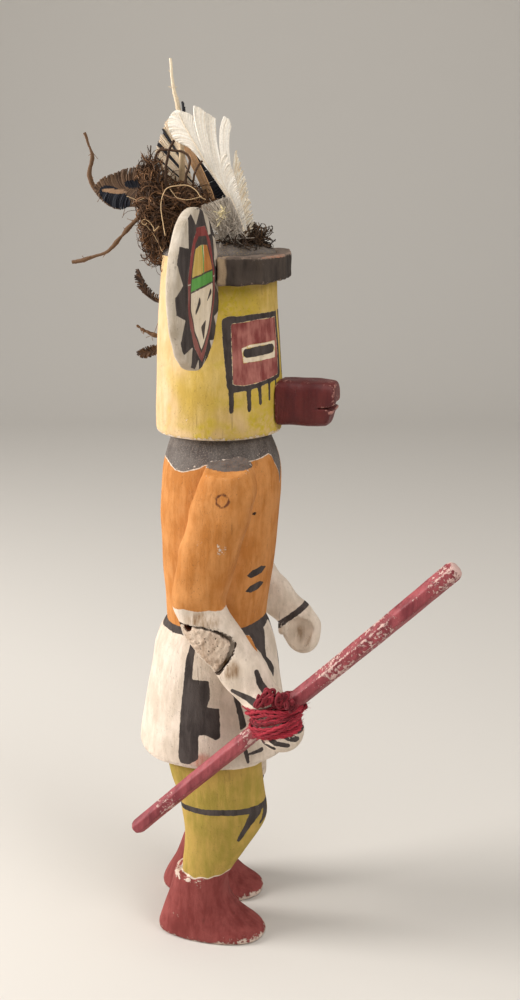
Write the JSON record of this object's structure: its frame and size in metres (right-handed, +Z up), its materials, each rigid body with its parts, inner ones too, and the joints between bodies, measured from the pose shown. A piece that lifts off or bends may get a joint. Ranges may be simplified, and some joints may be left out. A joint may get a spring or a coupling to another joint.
{
  "type": "kachina doll",
  "caption": "Standing carved and painted wooden kachina doll with a tubular mask, a square snout, a visor, a round sun disc beside the head, a feather crest and a red staff tied to its hand.",
  "frame": {"origin": "the floor under the middle of the part's box", "axes": "+Z up along the doll, -Y the way the mask and the toes face, +X to the doll's left"},
  "size_m": [0.1032, 0.1376, 0.3082],
  "materials": {
    "painted_wood": "matte chalky mineral paint over gesso, worn and chipped",
    "white_painted_wood": "matte off-white paint over gesso",
    "peg_wood": "painted peg end",
    "filler_paste": "rough dry filler",
    "red_painted_wood": "worn dark red paint",
    "black_painted_wood": "worn black paint",
    "disc_wood": "thin board, painted on the front",
    "red_stick": "red paint chipped through to white",
    "red_yarn": "twisted wool",
    "brown_fibre": "dry plant fibre",
    "dark_fibre": "dry plant fibre",
    "white_feather": "soft barbs",
    "quill": "dry bare quill",
    "barred_feather": "cream with dark bars",
    "grey_feather": "soft down",
    "brown_feather": "dark barbs"
  },
  "bodies": {
    "root": {"carved_body": "painted_wood", "right_arm": "white_painted_wood", "left_arm": "white_painted_wood", "shoulder_peg": "peg_wood", "elbow_filler": "filler_paste", "snout": "red_painted_wood", "visor": "black_painted_wood", "right_ear_disc": "disc_wood", "staff": "red_stick", "yarn_lashing": "red_yarn", "hair_bundle": "brown_fibre", "crown_fibres": "dark_fibre", "white_plume": "white_feather", "ragged_plume": "white_feather", "bare_quill": "quill", "barred_feather": "barred_feather", "grey_feather": "grey_feather", "eye_feather": "brown_feather", "tall_root": "brown_fibre", "low_root": "brown_fibre", "nape_feather": "brown_feather", "nape_twig": "dark_fibre", "low_nape_feather": "brown_feather"}
  },
  "joints": []
}
